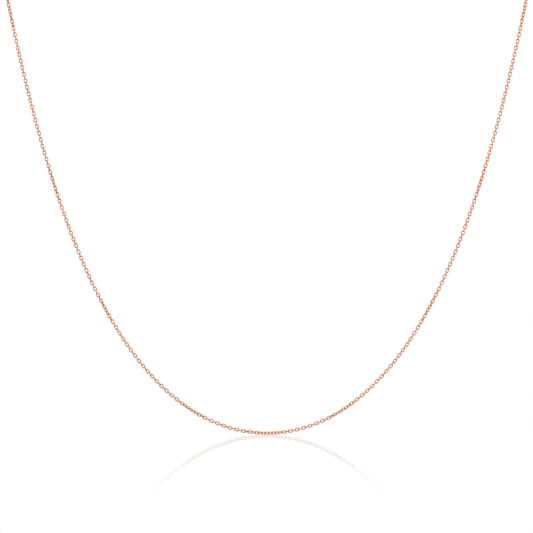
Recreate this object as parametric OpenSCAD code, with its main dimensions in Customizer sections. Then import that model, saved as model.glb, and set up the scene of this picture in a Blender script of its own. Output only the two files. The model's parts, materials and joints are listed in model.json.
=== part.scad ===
// Fine cable-chain necklace with a spring-ring clasp, in millimetres, +Z up.
// It hangs as it is worn: the neck loop rests on the neck or on a display bust, and
// the front strand hangs from the shoulders in the upright plane y = front_y.
// The origin is the middle of the neck opening, at shoulder height.
// Half of the chain is laid link by link along one path and the other half mirrors it.

/* [Chain link] */
// Diameter of the round wire that every link is bent from
wire_d = 0.25; // [0.24:0.005:0.26]
// Outside width of one oval link
link_w = 1; // [0.98:0.01:1.04]
// Outside length of one oval link
link_l = 1.42; // [1.41:0.01:1.46]
// Free gap where one wire hooks round the next
play = 0.025; // [0.02:0.005:0.035]

/* [Front strand] */
// Height that the front strand hangs below shoulder level
drop = 116; // [110:1:120]
// Upward scale of the hanging curve
drape_rise = 21.7; // [20:0.1:23]
// Sideways scale of the hanging curve
drape_reach = 27.2; // [26:0.1:29]

/* [Neck loop] */
// Distance from the plane of the front strand back to the nape
neck_depth = 60; // [50:1:70]
// Height of the nape above shoulder level
nape_z = 26; // [22:1:30]
// How far the strand heads on up from the shoulder before it turns back
shoulder_pull = 26; // [22:1:30]
// How far the strand heads sideways from the nape before it turns forward
nape_pull = 44; // [38:1:50]

/* [Clasp] */
// Outside diameter of the spring ring
clasp_od = 5.5; // [5.4:0.1:6]
// Diameter of the spring ring's tube
tube_d = 0.9; // [0.88:0.01:0.92]
// Diameter of the bore that the bolt slides in
bore_d = 0.6; // [0.58:0.01:0.62]
// Radial gap between the bolt and its bore
bolt_gap = 0.03; // [0.02:0.005:0.04]
// Outside diameter of the catch ring
catch_od = 3.2; // [3:0.1:3.4]
// Wire diameter of the catch ring
catch_wire = 0.4; // [0.36:0.02:0.42]
// Outside diameter of the jump ring
jump_od = 1.82; // [1.8:0.02:1.9]
// Wire diameter of the jump ring
jump_wire = 0.32; // [0.28:0.02:0.34]

/* [Hidden] */

rose_gold = [0.85, 0.58, 0.47];
spring_steel = [0.75, 0.75, 0.77];

wire_sides = 36;
bend_sides = 60;

wire_r = wire_d / 2;
link_bend_r = (link_w - wire_d) / 2;
link_straight = link_l - link_w;

// Links of the lowest run on each side of the middle link, and of each drop above it
lowest_links = 16;
drop_links = 12;
drop_count = 12;
neck_runs = 4;

front_y = -neck_depth / 2;
nape_y = neck_depth / 2;

// ---- clasp spacing along the nape, from the left end link to the right end link ----

link_inside = link_l / 2 - wire_d;
ring_r = (clasp_od - tube_d) / 2;
catch_r = (catch_od - catch_wire) / 2;
jump_r = (jump_od - jump_wire) / 2;
eye_wire = 0.36;
eye_r = 0.6;

link_to_catch = link_inside + catch_r - catch_wire / 2 - play;
catch_to_ring = catch_r + ring_r - catch_wire / 2 - tube_d / 2 - play;
ring_to_eye = ring_r + tube_d / 2 + eye_r;
eye_to_jump = eye_r + jump_r - eye_wire / 2 - jump_wire / 2 - play;
jump_to_link = jump_r + link_inside - jump_wire / 2 - play;
clasp_run = link_to_catch + catch_to_ring + ring_to_eye + eye_to_jump + jump_to_link;

catch_x = -clasp_run / 2 + link_to_catch;
clasp_x = catch_x + catch_to_ring;
jump_x = clasp_x + ring_to_eye + eye_to_jump;

// ---- angles round the spring ring, anticlockwise from its eyelet, clasp shut ----

// The mouth between the two ends of the tube
mouth_from = 110;
mouth_to = 165;
// The bolt, from its tail in the tube to its tip past the mouth
bolt_tail = 60;
bolt_tip = 171;
tip_pocket = 175;
// The thumb nub and the slot that it slides in
nub_at = 100;
bolt_travel = 62;
slot_from = nub_at - bolt_travel - 7;
nub_r = 0.15;
nub_reach = 0.5;
nub_ball_r = 0.26;
slot_w = 0.4;
// The blind end of the bore, and the coil between it and the bolt's tail
bore_from = -100;
coil_from = bore_from + 1;
coil_to = bolt_tail - 1;
coil_turns = 20;
coil_r = 0.19;
coil_wire_r = 0.05;

// ---- path of the right half of the chain ----

function cosh(u) = (exp(u) + exp(-u)) / 2;
function sinh(u) = (exp(u) - exp(-u)) / 2;
function acosh(v) = ln(v + sqrt(v * v - 1));
function unit(v) = v / norm(v);

function hang_point(x) = [x, front_y, drape_rise * (cosh(x / drape_reach) - 1) - drop];

shoulder_x = drape_reach * acosh(1 + drop / drape_rise);
shoulder = hang_point(shoulder_x);
shoulder_way = unit([drape_reach, 0, drape_rise * sinh(shoulder_x / drape_reach)]);
nape = [clasp_run / 2, nape_y, nape_z];

// A cubic curve from the shoulder, still rising, to the nape, level and heading inward
neck_curve = [
    shoulder,
    shoulder + shoulder_pull * shoulder_way,
    nape + [nape_pull, 0, 0],
    nape
];
function neck_point(u) =
    pow(1 - u, 3) * neck_curve[0]
    + 3 * pow(1 - u, 2) * u * neck_curve[1]
    + 3 * (1 - u) * pow(u, 2) * neck_curve[2]
    + pow(u, 3) * neck_curve[3];

hang_steps = 260;
neck_steps = 260;
path = concat(
    [for (i = [0 : hang_steps - 1]) hang_point(shoulder_x * i / hang_steps)],
    [for (i = [0 : neck_steps]) neck_point(i / neck_steps)]
);
path_count = len(path);

// Distance along the path from the lowest link to each of its points
run = [
    for (i = 0, s = 0; i < path_count;
         s = s + (i + 1 < path_count ? norm(path[i + 1] - path[i]) : 0), i = i + 1) s
];
path_length = run[path_count - 1];
path_x = [for (i = [0 : path_count - 1]) [run[i], path[i].x]];
path_y = [for (i = [0 : path_count - 1]) [run[i], path[i].y]];
path_z = [for (i = [0 : path_count - 1]) [run[i], path[i].z]];
function path_point(s) = [lookup(s, path_x), lookup(s, path_y), lookup(s, path_z)];
shoulder_run = run[hang_steps];

// A whole number of links fills each half, so the last one meets the clasp
half_links = round(path_length / (link_l - 2 * wire_d - play));
pitch = path_length / half_links;

// Direction of the chain at a distance s; mirrored below the lowest link
tangent_step = pitch / 2;
function way(s) =
    s < tangent_step ? [1, 0, 0]
    : s > path_length - tangent_step ? [-1, 0, 0]
    : unit(path_point(s + tangent_step) - path_point(s - tangent_step));

// The side that an untwisted link faces: front to back, tipped over along the shoulder
function neck_share(s) = max(0, (s - shoulder_run) / (path_length - shoulder_run));
function facing(s) = let (tip = 65 * sin(180 * neck_share(s))) [0, cos(tip), -sin(tip)];

// Natural twist of the strand: it stays flat for a while, then turns a quarter over
// turn_length; at each kink it turns an eighth and back again
turn_places = [56.5, 92.5, 139];
turn_length = 12;
kinks = [[0, 9], [21, 6]];
function ease(u) = let (v = max(0, min(1, u))) v * v * (3 - 2 * v);
function total(list) = list * [for (entry = list) 1];
function twist(s) =
    90
    + 90 * total([for (place = turn_places) ease((s - place) / turn_length + 0.5)])
    - 45 * total([for (kink = kinks) ease(1 - abs(s - kink[0]) / kink[1])])
    + 90 * (half_links % 2) * neck_share(s);

// ---- one link, and runs of links ----

// Oval of round wire, long in X and flat in the XY plane
module link() {
    for (end = [0, 180])
        rotate([0, 0, end])
            translate([link_straight / 2, 0, 0])
                rotate([0, 0, -90])
                    rotate_extrude(angle = 180, $fn = bend_sides)
                        translate([link_bend_r, 0])
                            circle(r = wire_r, $fn = wire_sides);
    for (side = [-1, 1])
        translate([-link_straight / 2, side * link_bend_r, 0])
            rotate([0, 90, 0])
                cylinder(r = wire_r, h = link_straight, $fn = wire_sides);
}

// Link number i of the right half, turned a quarter from its neighbours
module laid_link(i) {
    s = i * pitch;
    along = way(s);
    level = unit(facing(s) - (facing(s) * along) * along);
    across = cross(level, along);
    angle = 90 * (i % 2) + twist(s);
    face = level * cos(angle) + across * sin(angle);
    side = cross(face, along);
    place = path_point(s);
    multmatrix([
        [along.x, side.x, face.x, place.x],
        [along.y, side.y, face.y, place.y],
        [along.z, side.z, face.z, place.z],
        [0, 0, 0, 1]
    ])
        link();
}

module right_links(first, last) {
    color(rose_gold)
        for (i = [first : last])
            laid_link(i);
}

module left_links(first, last) {
    mirror([1, 0, 0])
        right_links(first, last);
}

// The n-th drop above the lowest run, counted upwards from 1
function drop_first(n) = lowest_links + 1 + (n - 1) * drop_links;
function drop_last(n) = lowest_links + n * drop_links;
module right_drop(n) right_links(drop_first(n), drop_last(n));
module left_drop(n) left_links(drop_first(n), drop_last(n));

// The n-th run of the neck loop, counted from the shoulder to the clasp
hung_links = lowest_links + drop_count * drop_links;
function neck_last(n) = hung_links + round((half_links - hung_links) * n / neck_runs);
module right_neck(n) right_links(neck_last(n - 1) + 1, neck_last(n));
module left_neck(n) left_links(neck_last(n - 1) + 1, neck_last(n));

// ---- sub-parts ----

module lowest_run() {
    right_links(0, lowest_links);
    left_links(1, lowest_links);
}

module right_drop_1() right_drop(1);
module right_drop_2() right_drop(2);
module right_drop_3() right_drop(3);
module right_drop_4() right_drop(4);
module right_drop_5() right_drop(5);
module right_drop_6() right_drop(6);
module right_drop_7() right_drop(7);
module right_drop_8() right_drop(8);
module right_drop_9() right_drop(9);
module right_drop_10() right_drop(10);
module right_drop_11() right_drop(11);
module right_drop_12() right_drop(12);

module left_drop_1() left_drop(1);
module left_drop_2() left_drop(2);
module left_drop_3() left_drop(3);
module left_drop_4() left_drop(4);
module left_drop_5() left_drop(5);
module left_drop_6() left_drop(6);
module left_drop_7() left_drop(7);
module left_drop_8() left_drop(8);
module left_drop_9() left_drop(9);
module left_drop_10() left_drop(10);
module left_drop_11() left_drop(11);
module left_drop_12() left_drop(12);

module right_shoulder_run() right_neck(1);
module right_neck_run_1() right_neck(2);
module right_neck_run_2() right_neck(3);
module right_nape_run() right_neck(4);
module left_shoulder_run() left_neck(1);
module left_neck_run_1() left_neck(2);
module left_neck_run_2() left_neck(3);
module left_nape_run() left_neck(4);

// A stretch of round bar bent to radius r, between two angles
module bent_bar(r, bar_r, from, to) {
    rotate([0, 0, from])
        rotate_extrude(angle = to - from, $fn = 96)
            translate([r, 0])
                circle(r = bar_r, $fn = 48);
}

module full_ring(r, bar_r) {
    rotate_extrude($fn = 96)
        translate([r, 0])
            circle(r = bar_r, $fn = 48);
}

// Stands a flat clasp piece upright at the nape, facing front to back
module at_clasp() {
    translate([clasp_x, nape_y, nape_z])
        rotate([90, 0, 0])
            children();
}

// Hollow tube bent to a ring with a mouth, with its eyelet on the outside
module clasp_ring() {
    color(rose_gold)
        at_clasp()
            difference() {
                union() {
                    bent_bar(ring_r, tube_d / 2, mouth_to, mouth_from + 360);
                    translate([ring_to_eye, 0, 0])
                        full_ring(eye_r, eye_wire / 2);
                }
                bent_bar(ring_r, bore_d / 2, bore_from, mouth_from + 1);
                bent_bar(ring_r, bore_d / 2, mouth_to - 1, tip_pocket);
                rotate([0, 0, slot_from])
                    rotate_extrude(angle = mouth_from + 1 - slot_from, $fn = 96)
                        translate([ring_r, -slot_w / 2])
                            square([tube_d, slot_w]);
            }
}

// Sliding bolt that closes the mouth, with the nub that the thumb pulls
module clasp_bolt() {
    color(rose_gold)
        at_clasp() {
            bent_bar(ring_r, bore_d / 2 - bolt_gap, bolt_tail, bolt_tip);
            rotate([0, 0, nub_at])
                translate([ring_r, 0, 0])
                    rotate([0, 90, 0]) {
                        cylinder(r = nub_r, h = tube_d / 2 + nub_reach, $fn = 32);
                        translate([0, 0, tube_d / 2 + nub_reach])
                            sphere(r = nub_ball_r, $fn = 40);
                    }
        }
}

// Coil in the bore that pushes the bolt shut
coil_steps = coil_turns * 10;
coil_sides = 6;
function coil_centre(i) =
    let (
        round_ring = coil_to + (coil_from - coil_to) * i / coil_steps,
        round_coil = 360 * coil_turns * i / coil_steps,
        out = ring_r + coil_r * cos(round_coil)
    )
    [out * cos(round_ring), out * sin(round_ring), coil_r * sin(round_coil)];
function coil_way(i) =
    unit(coil_centre(min(i + 0.5, coil_steps)) - coil_centre(max(i - 0.5, 0)));
function coil_ring(i) =
    let (
        along = coil_way(i),
        round_ring = coil_to + (coil_from - coil_to) * i / coil_steps,
        spine = ring_r * [cos(round_ring), sin(round_ring), 0],
        outward = coil_centre(i) - spine,
        u = unit(outward - (outward * along) * along),
        v = cross(along, u)
    )
    [for (k = [0 : coil_sides - 1])
        coil_centre(i) + coil_wire_r * (u * cos(360 * k / coil_sides) + v * sin(360 * k / coil_sides))];

module clasp_spring() {
    points = [for (i = [0 : coil_steps]) each coil_ring(i)];
    last = coil_steps * coil_sides;
    walls = [
        for (i = [0 : coil_steps - 1], k = [0 : coil_sides - 1])
            let (a = i * coil_sides + k, b = i * coil_sides + (k + 1) % coil_sides)
            each [[a, b, a + coil_sides], [b, b + coil_sides, a + coil_sides]]
    ];
    first_cap = [for (k = [coil_sides - 1 : -1 : 0]) k];
    last_cap = [for (k = [0 : coil_sides - 1]) last + k];
    color(spring_steel)
        at_clasp()
            polyhedron(points, concat([first_cap], walls, [last_cap]));
}

// Plain ring on the left end of the chain, which the clasp hooks
module catch_ring() {
    color(rose_gold)
        translate([catch_x, nape_y, nape_z])
            full_ring(catch_r, catch_wire / 2);
}

// Small ring that joins the clasp's eyelet to the right end of the chain
module jump_ring() {
    color(rose_gold)
        translate([jump_x, nape_y, nape_z])
            full_ring(jump_r, jump_wire / 2);
}

lowest_run();
right_drop_1();
right_drop_2();
right_drop_3();
right_drop_4();
right_drop_5();
right_drop_6();
right_drop_7();
right_drop_8();
right_drop_9();
right_drop_10();
right_drop_11();
right_drop_12();
left_drop_1();
left_drop_2();
left_drop_3();
left_drop_4();
left_drop_5();
left_drop_6();
left_drop_7();
left_drop_8();
left_drop_9();
left_drop_10();
left_drop_11();
left_drop_12();
right_shoulder_run();
right_neck_run_1();
right_neck_run_2();
right_nape_run();
left_shoulder_run();
left_neck_run_1();
left_neck_run_2();
left_nape_run();
clasp_ring();
clasp_bolt();
clasp_spring();
catch_ring();
jump_ring();
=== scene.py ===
"""Rose-gold cable-chain necklace, hanging as worn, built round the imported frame.

Every CAD link is found in its node's mesh and gets a finer link of the same wire in the
same place. The clasp's parts are built again with their seams, lips and rounded ends.
Lengths are in metres; MM turns millimetres into metres.
"""

import json
import math
import random

import bpy
import numpy as np
from mathutils import Matrix, Vector


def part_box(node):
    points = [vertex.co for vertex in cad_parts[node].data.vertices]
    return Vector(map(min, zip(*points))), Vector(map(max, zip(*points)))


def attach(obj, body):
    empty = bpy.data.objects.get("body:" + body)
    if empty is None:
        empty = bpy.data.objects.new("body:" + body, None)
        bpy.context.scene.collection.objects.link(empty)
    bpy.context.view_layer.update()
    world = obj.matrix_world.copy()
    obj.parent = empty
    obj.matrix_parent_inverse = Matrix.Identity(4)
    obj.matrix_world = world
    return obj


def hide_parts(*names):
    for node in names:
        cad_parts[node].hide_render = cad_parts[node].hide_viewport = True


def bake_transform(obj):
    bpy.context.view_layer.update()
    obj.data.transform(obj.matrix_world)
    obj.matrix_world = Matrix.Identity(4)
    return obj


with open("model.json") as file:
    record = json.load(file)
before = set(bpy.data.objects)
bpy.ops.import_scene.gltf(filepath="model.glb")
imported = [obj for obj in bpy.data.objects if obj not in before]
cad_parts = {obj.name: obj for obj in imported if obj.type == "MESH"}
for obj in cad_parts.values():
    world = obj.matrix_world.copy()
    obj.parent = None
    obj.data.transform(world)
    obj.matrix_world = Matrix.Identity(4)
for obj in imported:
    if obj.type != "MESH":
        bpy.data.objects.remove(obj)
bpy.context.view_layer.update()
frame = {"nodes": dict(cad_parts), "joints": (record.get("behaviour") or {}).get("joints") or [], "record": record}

MM = 0.001

# ---- link and wire sizes, as the CAD has them ----

WIRE_R = 0.125 * MM
LINK_BEND_R = 0.375 * MM
LINK_HALF_STRAIGHT = 0.21 * MM
LINK_BEND_STEPS = 16
LINK_SIDE_STEPS = 6
LINK_WIRE_SIDES = 14

# Most that a loose link rolls about its long way and yaws in its plane, in degrees
LINK_ROLL = 9.0
END_LINK_ROLL = 2.5
LINK_YAW = 0.8

# ---- clasp, as the CAD has it: angles in degrees from the eyelet, anticlockwise ----

RING_R = 2.3 * MM
TUBE_R = 0.45 * MM
BORE_R = 0.30 * MM
BOLT_R = 0.27 * MM
EYE_R = 0.60 * MM
EYE_WIRE_R = 0.18 * MM
CATCH_R = 1.40 * MM
CATCH_WIRE_R = 0.20 * MM
JUMP_R = 0.75 * MM
JUMP_WIRE_R = 0.16 * MM
MOUTH_FROM, MOUTH_TO = 110, 165
BOLT_TAIL, BOLT_TIP = 60, 171
NUB_AT = 100
NUB_STEM_R = 0.15 * MM
NUB_HEAD_R = 0.26 * MM
NUB_HEAD_AT = 0.95 * MM
SLOT_FROM = 31
SLOT_HALF_WIDTH = 0.2 * MM
COIL_FROM, COIL_TO = -99, 59
COIL_TURNS = 20
COIL_R = 0.19 * MM
COIL_WIRE_R = 0.05 * MM

# Where the two plain rings are joined, and half the cut left in the jump ring, in degrees
RING_JOINT_AT = 65
JUMP_CUT = 0.9

# ---- view: the upright plane of the front strand fills the picture at this scale ----

VIEW_WIDTH = 141.2 * MM
VIEW_CENTRE_X = -0.117 * MM
VIEW_CENTRE_ABOVE_LOWEST = 44.51 * MM
CAMERA_DISTANCE = 1.0
SENSOR_WIDTH = 36.0
FLOOR_GAP = 0.03 * MM
REFLECTION_SHARE = 0.38
REFLECTION_REACH = 0.28


# ---------------------------------------------------------------- camera, light, stage


def make_camera(strand_y, lowest_z):
    data = bpy.data.cameras.new("camera")
    data.sensor_width = SENSOR_WIDTH
    data.lens = SENSOR_WIDTH * CAMERA_DISTANCE / VIEW_WIDTH
    data.clip_start = 0.01
    data.clip_end = 50.0
    camera = bpy.data.objects.new("camera", data)
    camera.location = (
        VIEW_CENTRE_X,
        strand_y - CAMERA_DISTANCE,
        lowest_z + VIEW_CENTRE_ABOVE_LOWEST,
    )
    camera.rotation_euler = (math.radians(90), 0.0, 0.0)
    bpy.context.scene.collection.objects.link(camera)
    bpy.context.scene.camera = camera


def make_world():
    """White where the camera looks; in reflections, a pale studio, brighter at eye level and above."""
    world = bpy.data.worlds.new("studio")
    bpy.context.scene.world = world
    world.use_nodes = True
    nodes, links = world.node_tree.nodes, world.node_tree.links
    nodes.clear()
    coordinates = nodes.new("ShaderNodeTexCoord")
    split = nodes.new("ShaderNodeSeparateXYZ")
    links.new(coordinates.outputs["Generated"], split.inputs[0])
    height = nodes.new("ShaderNodeMapRange")
    height.inputs["From Min"].default_value = -1.0
    links.new(split.outputs["Z"], height.inputs["Value"])
    ramp = nodes.new("ShaderNodeValToRGB")
    links.new(height.outputs["Result"], ramp.inputs["Fac"])
    shades = (
        (0.0, 0.55), (0.40, 0.55), (0.47, 1.0), (0.53, 1.0),
        (0.62, 0.50), (0.80, 0.55), (0.90, 0.95),
    )
    ramp.color_ramp.elements[0].position = shades[0][0]
    ramp.color_ramp.elements[1].position = shades[-1][0]
    for place, _ in shades[1:-1]:
        ramp.color_ramp.elements.new(place)
    for element, (_, shade) in zip(ramp.color_ramp.elements, shades):
        element.color = (shade, shade, shade, 1.0)
    seen = nodes.new("ShaderNodeBackground")
    seen.inputs["Color"].default_value = (1.0, 1.0, 1.0, 1.0)
    studio = nodes.new("ShaderNodeBackground")
    links.new(ramp.outputs["Color"], studio.inputs["Color"])
    rays = nodes.new("ShaderNodeLightPath")
    mix = nodes.new("ShaderNodeMixShader")
    links.new(rays.outputs["Is Camera Ray"], mix.inputs[0])
    links.new(studio.outputs[0], mix.inputs[1])
    links.new(seen.outputs[0], mix.inputs[2])
    output = nodes.new("ShaderNodeOutputWorld")
    links.new(mix.outputs[0], output.inputs["Surface"])


def make_light(name, place, target, size, watts):
    data = bpy.data.lights.new(name, "AREA")
    data.shape = "RECTANGLE"
    data.size, data.size_y = size
    data.energy = watts
    light = bpy.data.objects.new(name, data)
    light.location = place
    light.rotation_euler = (Vector(target) - Vector(place)).to_track_quat("-Z", "Y").to_euler()
    light.visible_camera = False
    bpy.context.scene.collection.objects.link(light)


def make_lights(centre):
    for name, offset, size, watts in (
        ("softbox_left", (-0.7, -0.6, 0.5), (0.5, 0.7), 2.5),
        ("softbox_right", (0.8, -0.5, 0.3), (0.35, 0.7), 1.5),
        ("softbox_top", (0.0, 0.1, 0.9), (0.8, 0.4), 2.5),
    ):
        make_light(name, centre + Vector(offset), centre, size, watts)


def make_floor(strand_y, lowest_z):
    """Wide pale floor just under the lowest link; its weak gloss dies away towards the camera."""
    bpy.ops.mesh.primitive_circle_add(vertices=96, radius=4.0, fill_type="NGON")
    floor = bpy.context.object
    floor.name = "floor"
    floor.location = (0.0, 0.0, lowest_z - FLOOR_GAP)
    n = Nodes("floor_white")
    seen = n.add("ShaderNodeEmission", Color=(1.0, 1.0, 1.0, 1.0))
    bounce = n.add("ShaderNodeEmission", Color=(0.5, 0.5, 0.5, 1.0))
    rays = n.add("ShaderNodeLightPath")
    white = n.mix_shaders(rays.outputs["Is Camera Ray"], bounce, seen)
    gloss = n.add("ShaderNodeBsdfGlossy", Color=(1.0, 1.0, 1.0, 1.0), Roughness=0.0)
    split = n.add("ShaderNodeSeparateXYZ", Vector=n.add("ShaderNodeNewGeometry").outputs["Position"])
    fade = n.add("ShaderNodeMapRange", Value=split.outputs["Y"], To_Max=REFLECTION_SHARE)
    fade.inputs["From Min"].default_value = strand_y - REFLECTION_REACH
    fade.inputs["From Max"].default_value = strand_y - 0.05
    facing = n.add("ShaderNodeLayerWeight", Blend=0.5)
    grazing = n.math("POWER", facing.outputs["Facing"], 4.0)
    share = n.math("MULTIPLY", fade.outputs["Result"], grazing)
    n.finish(n.mix_shaders(share, white, gloss))
    floor.data.materials.append(n.material)


# ---------------------------------------------------------------- materials


class Nodes:
    """Short helpers for one material's node tree."""

    def __init__(self, name):
        self.material = bpy.data.materials.new(name)
        self.material.use_nodes = True
        self.tree = self.material.node_tree
        self.tree.nodes.clear()

    def add(self, kind, **inputs):
        """A node with its inputs set; an underscore in a name stands for a space."""
        node = self.tree.nodes.new(kind)
        for key, value in inputs.items():
            self.put(node, key.replace("_", " "), value)
        return node

    def put(self, node, key, value):
        if isinstance(value, bpy.types.NodeSocket):
            self.tree.links.new(value, node.inputs[key])
        else:
            node.inputs[key].default_value = value

    def math(self, operation, first, second=0.0, clamp=False):
        node = self.tree.nodes.new("ShaderNodeMath")
        node.operation = operation
        node.use_clamp = clamp
        self.put(node, 0, first)
        self.put(node, 1, second)
        return node.outputs[0]

    def blend(self, share, first, second):
        node = self.tree.nodes.new("ShaderNodeMix")
        node.data_type = "RGBA"
        self.put(node, 0, share)
        self.put(node, 6, first)
        self.put(node, 7, second)
        return node.outputs[2]

    def mix_shaders(self, share, first, second):
        node = self.tree.nodes.new("ShaderNodeMixShader")
        self.put(node, 0, share)
        self.put(node, 1, first.outputs[0])
        self.put(node, 2, second.outputs[0])
        return node

    def noise(self, where, scale, detail):
        return self.add("ShaderNodeTexNoise", Vector=where, Scale=scale, Detail=detail).outputs["Fac"]

    def bell(self, value, centre, width):
        """1 at centre, falling smoothly to 0 at width to either side; value wraps round at 1."""
        off = self.math("ABSOLUTE", self.math("SUBTRACT", value, centre))
        off = self.math("MINIMUM", off, self.math("SUBTRACT", 1.0, off))
        node = self.add("ShaderNodeMapRange", Value=off, From_Max=width, To_Min=1.0, To_Max=0.0)
        node.interpolation_type = "SMOOTHSTEP"
        return node.outputs["Result"]

    def finish(self, shader):
        output = self.tree.nodes.new("ShaderNodeOutputMaterial")
        self.put(output, "Surface", shader.outputs[0])


def gold_material(name, base, roughness, seam_at, rubs_at, grain):
    """Polished rose gold on swept wire.

    The UV map "wire" runs along the wire in U and round it in V, where V = 0 faces the
    hole of the ring or link; the whole part of V numbers the piece, for its own shade.
    seam_at is the U of the solder joint, and rubs_at the U of the worn, brighter bends.
    grain is how many drawn lines there are round the wire, more or less.
    """
    n = Nodes(name)
    uv = n.add("ShaderNodeUVMap")
    uv.uv_map = "wire"
    split = n.add("ShaderNodeSeparateXYZ", Vector=uv.outputs["UV"])
    along, around = split.outputs["X"], split.outputs["Y"]
    turn = n.math("FRACT", around)
    piece_noise = n.add("ShaderNodeTexWhiteNoise")
    piece_noise.noise_dimensions = "1D"
    n.put(piece_noise, "W", n.math("FLOOR", around))
    per_piece = piece_noise.outputs["Value"]

    place = n.add("ShaderNodeTexCoord").outputs["Object"]
    cloud = n.noise(place, 2400.0, 3.0)
    lines_at = n.add(
        "ShaderNodeCombineXYZ",
        X=n.math("MULTIPLY", along, 5.0),
        Y=n.math("MULTIPLY", around, grain),
    )
    drawn_lines = n.noise(lines_at.outputs[0], 1.0, 2.0)

    seam = n.bell(along, seam_at, 0.03)
    inner = n.bell(turn, 0.0, 0.26)
    rub = 0.0
    for place_along in rubs_at:
        rub = n.math("ADD", rub, n.bell(along, place_along, 0.07))
    rub = n.math("MULTIPLY", rub, inner, clamp=True)
    tarnish = n.math("MULTIPLY", inner, n.math("MULTIPLY", cloud, 0.95), clamp=True)
    tarnish = n.math("MULTIPLY", tarnish, n.math("SUBTRACT", 1.0, rub), clamp=True)

    red, green, blue = base
    plain = (red, green, blue, 1.0)
    pale = (min(1.0, red * 1.06), green * 1.12, blue * 1.2, 1.0)
    deep = (red * 0.84, green * 0.68, blue * 0.58, 1.0)
    solder = (red * 0.97, green * 1.12, blue * 1.35, 1.0)
    colour = n.blend(n.math("MULTIPLY", per_piece, 0.7), plain, pale)
    colour = n.blend(tarnish, colour, deep)
    colour = n.blend(n.math("MULTIPLY", rub, 0.6), colour, pale)
    colour = n.blend(n.math("MULTIPLY", seam, 0.6), colour, solder)

    rough = n.math("ADD", n.math("MULTIPLY", drawn_lines, 0.10), roughness - 0.05)
    rough = n.math("ADD", rough, n.math("MULTIPLY", tarnish, 0.16))
    rough = n.math("ADD", rough, n.math("MULTIPLY", seam, 0.16))
    rough = n.math("SUBTRACT", rough, n.math("MULTIPLY", rub, 0.06), clamp=True)

    relief = n.math("ADD", drawn_lines, n.math("MULTIPLY", seam, cloud))
    bump = n.add("ShaderNodeBump", Height=relief, Strength=0.25, Distance=0.004 * MM)
    shader = n.add(
        "ShaderNodeBsdfPrincipled",
        Base_Color=colour,
        Metallic=1.0,
        Roughness=rough,
        Normal=bump.outputs["Normal"],
    )
    n.finish(shader)
    return n.material


def steel_material(name):
    """Spring wire: grey, drawn, a little oiled."""
    n = Nodes(name)
    cloud = n.noise(n.add("ShaderNodeTexCoord").outputs["Object"], 2500.0, 3.0)
    colour = n.blend(cloud, (0.48, 0.48, 0.50, 1.0), (0.68, 0.67, 0.66, 1.0))
    rough = n.math("ADD", n.math("MULTIPLY", cloud, 0.2), 0.22)
    bump = n.add("ShaderNodeBump", Height=cloud, Strength=0.2, Distance=0.002 * MM)
    shader = n.add(
        "ShaderNodeBsdfPrincipled",
        Base_Color=colour,
        Metallic=1.0,
        Roughness=rough,
        Normal=bump.outputs["Normal"],
    )
    n.finish(shader)
    return n.material


# ---------------------------------------------------------------- meshes


def unit(v):
    return v / np.linalg.norm(v, axis=-1, keepdims=True)


def swept_wire(points, normals, radii, sides, closed):
    """(vertices, faces, UVs per face) of round wire along points.

    normals point to V = 0 on the wire's section, and radii has one radius per point.
    Open wire gets a flat cap at each end.
    """
    count = len(points)
    if closed:
        ways = unit(np.roll(points, -1, axis=0) - np.roll(points, 1, axis=0))
    else:
        ways = unit(np.gradient(points, axis=0))
    across = unit(normals - np.sum(normals * ways, axis=1, keepdims=True) * ways)
    up = np.cross(ways, across)
    turn = (2 * math.pi * np.arange(sides) / sides)[None, :, None]
    ring = np.cos(turn) * across[:, None, :] + np.sin(turn) * up[:, None, :]
    vertices = (points[:, None, :] + radii[:, None, None] * ring).reshape(-1, 3)
    steps = count if closed else count - 1
    faces, uvs = [], []
    for j in range(steps):
        u0, u1 = j / steps, (j + 1) / steps
        for k in range(sides):
            v0, v1 = k / sides, (k + 1) / sides
            a, b = j * sides + k, j * sides + (k + 1) % sides
            c, d = (b + sides) % (count * sides), (a + sides) % (count * sides)
            faces.append((a, b, c, d))
            uvs.append(((u0, v0), (u0, v1), (u1, v1), (u1, v0)))
    if not closed:
        last = (count - 1) * sides
        faces.append(tuple(range(sides - 1, -1, -1)))
        faces.append(tuple(range(last, last + sides)))
        uvs.append(((0.0, 0.5),) * sides)
        uvs.append(((1.0, 0.5),) * sides)
    return vertices, faces, uvs


def arc_points(radius, degrees):
    turn = np.radians(degrees)
    return np.column_stack([radius * np.cos(turn), radius * np.sin(turn), 0 * turn])


def ring_wire(radius, wire_r, degrees, sides=20, radii=None, closed=False):
    """Round wire bent round the origin in the XY plane, with V = 0 facing the middle."""
    points = arc_points(radius, degrees)
    if radii is None:
        radii = np.full(len(points), wire_r)
    return swept_wire(points, -points, radii, sides, closed)


def rounded_ends(degrees, radius, wire_r):
    """(degrees, radii) of a bent bar whose two ends are rounded off to domes."""
    cap = np.degrees(wire_r / radius)
    dome = 1 - np.cos(np.radians(np.linspace(8, 90, 9)))
    fall = wire_r * np.sqrt(1 - (1 - dome) ** 2)
    start, end = degrees[0], degrees[-1]
    middle = degrees[(degrees > start + cap) & (degrees < end - cap)]
    places = np.concatenate([start + cap * dome, middle, (end - cap * dome)[::-1]])
    radii = np.concatenate([fall, np.full(len(middle), wire_r), fall[::-1]])
    return places, radii


def lathe(profile, sides):
    """(vertices, faces, UVs) of a (height, radius) profile in millimetres, turned round Z."""
    profile = np.array(profile) * MM
    points = np.column_stack([0 * profile[:, 0], 0 * profile[:, 0], profile[:, 0]])
    normals = np.tile((1.0, 0.0, 0.0), (len(points), 1))
    return swept_wire(points, normals, profile[:, 1], sides, closed=False)


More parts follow.
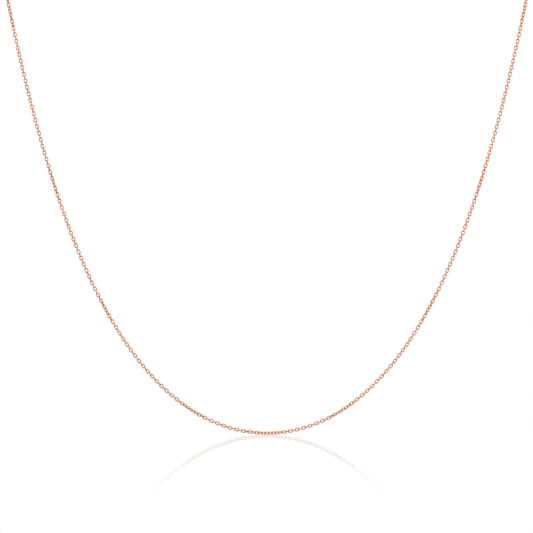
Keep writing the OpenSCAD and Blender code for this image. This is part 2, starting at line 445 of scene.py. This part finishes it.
def link_wire():
    """One link along X, flat in XY, with its solder joint at the middle of one side (U = 0)."""
    half, bend = LINK_HALF_STRAIGHT, LINK_BEND_R
    side = np.linspace(0, half, LINK_SIDE_STEPS // 2 + 1)[:-1]
    turn = np.linspace(-math.pi / 2, math.pi / 2, LINK_BEND_STEPS + 1)[:-1]
    plan = [(x, -bend) for x in side]
    plan += [(half + bend * math.cos(t), bend * math.sin(t)) for t in turn]
    plan += [(x, bend) for x in np.linspace(half, -half, LINK_SIDE_STEPS + 1)[:-1]]
    plan += [(-half - bend * math.cos(t), -bend * math.sin(t)) for t in turn]
    plan += [(x, -bend) for x in np.linspace(-half, 0, LINK_SIDE_STEPS // 2 + 1)[:-1]]
    plan = np.array(plan)
    points = np.column_stack([plan, np.zeros(len(plan))])
    inward = -np.column_stack([plan * (0.6, 1.0), np.zeros(len(plan))])
    from_seam = np.minimum(np.arange(len(plan)), len(plan) - np.arange(len(plan)))
    radii = WIRE_R * (1 + 0.06 * np.exp(-((from_seam / 1.1) ** 2)))
    return swept_wire(points, inward, radii, LINK_WIRE_SIDES, closed=True)


def loose_parts(mesh):
    """The separate closed surfaces of a CAD mesh, each as its triangles' corner points."""
    mesh.calc_loop_triangles()
    points = np.zeros(len(mesh.vertices) * 3, np.float32)
    mesh.vertices.foreach_get("co", points)
    corners = np.zeros(len(mesh.loop_triangles) * 3, np.int32)
    mesh.loop_triangles.foreach_get("vertices", corners)
    points = points.reshape(-1, 3)
    _, same = np.unique(points, axis=0, return_inverse=True)
    triangles = same.reshape(-1)[corners].reshape(-1, 3)

    # Every point takes the lowest label among its triangles' points until nothing changes
    label = np.arange(triangles.max() + 1)
    while True:
        lowest = label[triangles].min(axis=1)
        new = label.copy()
        np.minimum.at(new, triangles.ravel(), np.repeat(lowest, 3))
        new = new[new]
        if (new == label).all():
            break
        label = new

    part_of = label[triangles[:, 0]]
    _, first_seen = np.unique(part_of, return_index=True)
    order = part_of[np.sort(first_seen)]
    shapes = points[corners.reshape(-1, 3)].astype(float)
    return [shapes[part_of == part] for part in order]


def link_matrix(triangles):
    """(centre, 3x3 axes as columns) of a CAD link: long way, across, and the way its oval faces."""
    edges = triangles[:, 1:] - triangles[:, :1]
    areas = np.linalg.norm(np.cross(edges[:, 0], edges[:, 1]), axis=1)
    middles = triangles.mean(axis=1)
    centre = np.average(middles, axis=0, weights=areas)
    _, axes = np.linalg.eigh(np.cov((middles - centre).T, aweights=areas))
    long_way, face = axes[:, 2], axes[:, 0]
    return centre, np.column_stack([long_way, np.cross(face, long_way), face])


def turned(axis, degrees):
    return np.array(Matrix.Rotation(math.radians(degrees), 3, axis))


def joined(*shapes):
    """One (vertices, faces, UVs) from several, with each shape numbered in the whole part of V."""
    vertices, faces, uvs, start = [], [], [], 0
    for number, (points, polygons, corners) in enumerate(shapes):
        vertices.append(points)
        faces += [tuple(start + i for i in polygon) for polygon in polygons]
        uvs += [[(u, v * 0.999 + number) for u, v in corner] for corner in corners]
        start += len(points)
    return np.concatenate(vertices), faces, uvs


def moved(shape, matrix, offset):
    points, faces, uvs = shape
    return points @ np.array(matrix).T + np.array(offset), faces, uvs


def new_piece(name, shape, material, body, node):
    """A smooth-shaded object of that shape that rides on body and stands for the CAD node."""
    vertices, faces, uvs = shape
    mesh = bpy.data.meshes.new(name)
    mesh.from_pydata(np.asarray(vertices).tolist(), [], faces)
    layer = mesh.uv_layers.new(name="wire")
    layer.data.foreach_set("uv", [value for corner in uvs for uv in corner for value in uv])
    mesh.polygons.foreach_set("use_smooth", [True] * len(mesh.polygons))
    mesh.materials.append(material)
    mesh.update()
    piece = bpy.data.objects.new(name, mesh)
    bpy.context.scene.collection.objects.link(piece)
    if body:
        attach(piece, body)
    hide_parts(node)
    return piece


def body_of_node(node):
    bodies = frame["record"]["behaviour"]["bodies"]
    return next(body for body, nodes in bodies.items() if node in nodes)


def soften_edges(piece, width):
    """Rounds the sharp edges of a piece and keeps its smooth faces smooth."""
    bevel = piece.modifiers.new("soft_edges", "BEVEL")
    bevel.width = width
    bevel.segments = 3
    bevel.limit_method = "ANGLE"
    bevel.angle_limit = math.radians(50)
    bevel.harden_normals = True


# ---------------------------------------------------------------- chain


def make_chain(node, link, material, chance):
    """The links of one CAD node as fine wire, each with its own small roll and yaw.

    The links at a run's two ends roll least, so they stay clear of the next run's links
    when its hinge is at a limit. The lowest run is listed from its middle out, one side
    after the other, so the end of its first half counts too.
    """
    points, polygons, corners = link
    polygons = np.array(polygons)
    corners = np.array(corners) * (1.0, 0.999)
    vertices, faces, uvs = [], [], []
    links = loose_parts(frame["nodes"][node].data)
    for number, triangles in enumerate(links):
        centre, axes = link_matrix(triangles)
        at_end = number in (0, len(links) // 2, len(links) - 1)
        most = END_LINK_ROLL if at_end else LINK_ROLL
        roll = turned("X", chance.uniform(-most, most))
        yaw = turned("Z", chance.uniform(-LINK_YAW, LINK_YAW))
        joint_side = turned("X", 180) if chance.random() < 0.5 else np.eye(3)
        vertices.append(points @ (axes @ joint_side @ roll @ yaw).T + centre)
        faces.append(polygons + number * len(points))
        uvs.append(corners + (0.0, float(number)))
    shape = np.concatenate(vertices), np.concatenate(faces).tolist(), np.concatenate(uvs).tolist()
    new_piece(node + "_links", shape, material, body_of_node(node), node)


# ---------------------------------------------------------------- clasp


def at_clasp(shape, centre):
    """Stands a shape drawn flat in XY upright at the clasp, facing the front."""
    return moved(shape, turned("X", 90), centre)


def tube_shell():
    """The clasp ring's outer skin, with its mouth open and the nub's slot left out.

    The slot ends in a half circle: rows of skin points are bent to follow its outline.
    """
    slot_from = 360 + SLOT_FROM
    coarse = np.arange(MOUTH_TO, slot_from - 6, 3.0)
    degrees = np.concatenate([coarse, np.arange(slot_from - 6, 360 + MOUTH_FROM + 0.1, 1.0)])
    half_slot = math.degrees(math.asin(SLOT_HALF_WIDTH / TUBE_R))
    end_reach = math.degrees(SLOT_HALF_WIDTH / (RING_R + TUBE_R))
    across_slot = half_slot * np.sin(np.radians(np.arange(-90, 90, 15)))
    around = np.linspace(half_slot, 360 - half_slot, 53)[:-1]
    turns = np.concatenate([across_slot, around])
    sides = len(turns)

    off = np.minimum(np.abs(turns), np.abs(360 - turns))
    outline = end_reach * (1 - np.sqrt(np.clip(1 - (off / half_slot) ** 2, 0, 1)))
    outline *= np.clip(1 - (off - half_slot) / 40, 0, 1)
    nearness = np.clip(1 - np.abs(degrees - slot_from) / 6, 0, 1)
    ring = np.radians(degrees[:, None] + nearness[:, None] * outline[None, :])
    wrap = np.radians(turns)[None, :]
    out = RING_R + TUBE_R * np.cos(wrap)
    height = TUBE_R * np.sin(wrap) + 0 * ring
    points = np.stack([out * np.cos(ring), out * np.sin(ring), height], axis=-1).reshape(-1, 3)

    faces, uvs = [], []
    steps = len(degrees) - 1
    for j in range(steps):
        for k in range(sides):
            if k < len(across_slot) and degrees[j] >= slot_from:
                continue
            a, b = j * sides + k, j * sides + (k + 1) % sides
            faces.append((a + sides, b + sides, b, a))
            u0, u1 = j / steps, (j + 1) / steps
            v0 = (turns[k] / 360 + 0.5) % 1
            v1 = v0 + (turns[(k + 1) % sides] - turns[k]) % 360 / 360
            uvs.append([(u1, v0), (u1, v1), (u0, v1), (u0, v0)])
    used, renumbered = np.unique(np.array(faces), return_inverse=True)
    return points[used], renumbered.reshape(-1, 4).tolist(), uvs


def make_clasp_ring(centre, material):
    """The ring's tube with its wall and soft edges, and the eyelet with its fillet of braze."""
    shell = at_clasp(tube_shell(), centre)
    tube = new_piece("clasp_tube", shell, material, "clasp", "clasp_ring")
    wall = tube.modifiers.new("wall", "SOLIDIFY")
    wall.thickness = TUBE_R - BORE_R
    wall.offset = -1.0
    wall.use_even_offset = True
    soften_edges(tube, 0.025 * MM)

    eye = ring_wire(EYE_R, EYE_WIRE_R, np.arange(0, 360, 7.5), closed=True)
    eye = moved(eye, np.eye(3), (RING_R + TUBE_R + EYE_R, 0, 0))
    fillet = [(0.0, 0.30), (0.05, 0.28), (0.10, 0.24), (0.14, 0.19), (0.165, 0.12), (0.175, 0.02)]
    braze = lathe(fillet, 28)
    braze = moved(braze, turned("Y", 90) @ np.diag((0.8, 1.25, 1.0)), (RING_R + TUBE_R - 0.03 * MM, 0, 0))
    eyelet = at_clasp(joined(eye, braze), centre)
    new_piece("clasp_eyelet", eyelet, material, "clasp", "clasp_ring")


def make_clasp_bolt(centre, material):
    """The sliding bolt with domed ends, and its nub: a stem, narrow in the slot, and a round head."""
    degrees, radii = rounded_ends(np.arange(BOLT_TAIL, BOLT_TIP + 0.1, 2.0), RING_R, BOLT_R)
    bar = ring_wire(RING_R, BOLT_R, degrees, sides=28, radii=radii)

    stem_r, head_r, head_at = NUB_STEM_R / MM, NUB_HEAD_R / MM, NUB_HEAD_AT / MM
    root = [(0.10, 0.12), (0.28, 0.12), (0.31, 0.135), (0.34, stem_r)]
    stem = [(0.5, stem_r), (head_at - 0.27, stem_r)]
    head = [
        (head_at - head_r * math.cos(t), head_r * math.sin(t))
        for t in np.linspace(math.asin(0.16 / head_r), math.pi - 0.05, 14)
    ]
    nub = moved(lathe(root + stem + head, 28), turned("Y", 90), (RING_R, 0, 0))
    nub = moved(nub, turned("Z", NUB_AT), (0, 0, 0))
    bolt = at_clasp(joined(bar, nub), centre)
    new_piece("clasp_bolt_bar", bolt, material, "bolt", "clasp_bolt")


def make_clasp_spring(centre, material):
    """Coil in the bore, wound along the ring from COIL_FROM to COIL_TO; it is fixed in place and does not move
    with the bolt.
    """
    steps = COIL_TURNS * 20
    share = np.linspace(0, 1, steps + 1)
    round_ring = np.radians(COIL_FROM + (COIL_TO - COIL_FROM) * share)
    round_coil = 2 * math.pi * COIL_TURNS * share
    spine = arc_points(RING_R, np.degrees(round_ring))
    out = unit(spine)
    up = np.array((0.0, 0.0, 1.0))
    away = np.cos(round_coil)[:, None] * out + np.sin(round_coil)[:, None] * up
    wire_r = np.full(steps + 1, COIL_WIRE_R)
    coil = at_clasp(swept_wire(spine + COIL_R * away, away, wire_r, 8, closed=False), centre)
    piece = new_piece("clasp_coil", coil, material, None, "clasp_spring")
    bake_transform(piece)


def make_plain_ring(name, node, radius, wire_r, cut, material):
    """A ring lying flat where its CAD node is: soldered shut, or cut for that many degrees each way."""
    low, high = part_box(node)
    centre = (low + high) / 2
    if cut:
        degrees = np.linspace(cut, 360 - cut, 91)
        radii = np.full(len(degrees), wire_r)
        shape = ring_wire(radius, wire_r, degrees, radii=radii)
    else:
        degrees = np.arange(0, 360, 5.0)
        off = np.minimum(degrees, 360 - degrees)
        radii = wire_r * (1 + 0.05 * np.exp(-((off / 5.0) ** 2)))
        shape = ring_wire(radius, wire_r, degrees, radii=radii, closed=True)
    shape = moved(shape, turned("Z", RING_JOINT_AT), centre)
    new_piece(name, shape, material, "neck_loop", node)


# ---------------------------------------------------------------- scene

lowest_low, lowest_high = (Vector(corner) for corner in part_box("lowest_run"))
strand_y = (lowest_low.y + lowest_high.y) / 2
make_camera(strand_y, lowest_low.z)
make_world()
make_lights(Vector((0.0, strand_y, lowest_low.z + VIEW_CENTRE_ABOVE_LOWEST)))
make_floor(strand_y, lowest_low.z)
bpy.context.scene.view_settings.view_transform = "Standard"

link_gold = gold_material(
    "rose_gold_links",
    base=(0.775, 0.332, 0.15),
    roughness=0.18,
    seam_at=0.0,
    rubs_at=(0.25, 0.75),
    grain=9.0,
)
clasp_gold = gold_material(
    "rose_gold_clasp",
    base=(0.79, 0.35, 0.17),
    roughness=0.14,
    seam_at=0.5,
    rubs_at=(),
    grain=40.0,
)
ring_gold = gold_material(
    "rose_gold_rings",
    base=(0.785, 0.34, 0.16),
    roughness=0.16,
    seam_at=0.0,
    rubs_at=(0.5,),
    grain=14.0,
)
spring_wire = steel_material("spring_wire")

random_source = random.Random(20)
one_link = link_wire()
for chain_node in sorted(frame["nodes"]):
    if "_run" in chain_node or "_drop_" in chain_node:
        make_chain(chain_node, one_link, link_gold, random_source)

swivel = next(joint for joint in frame["joints"] if joint["name"] == "clasp_swivel")
clasp_centre = Vector(swivel["pos_m"])
make_clasp_ring(clasp_centre, clasp_gold)
make_clasp_bolt(clasp_centre, clasp_gold)
make_clasp_spring(clasp_centre, spring_wire)
make_plain_ring("catch_ring_wire", "catch_ring", CATCH_R, CATCH_WIRE_R, 0, ring_gold)
make_plain_ring("jump_ring_wire", "jump_ring", JUMP_R, JUMP_WIRE_R, JUMP_CUT, ring_gold)
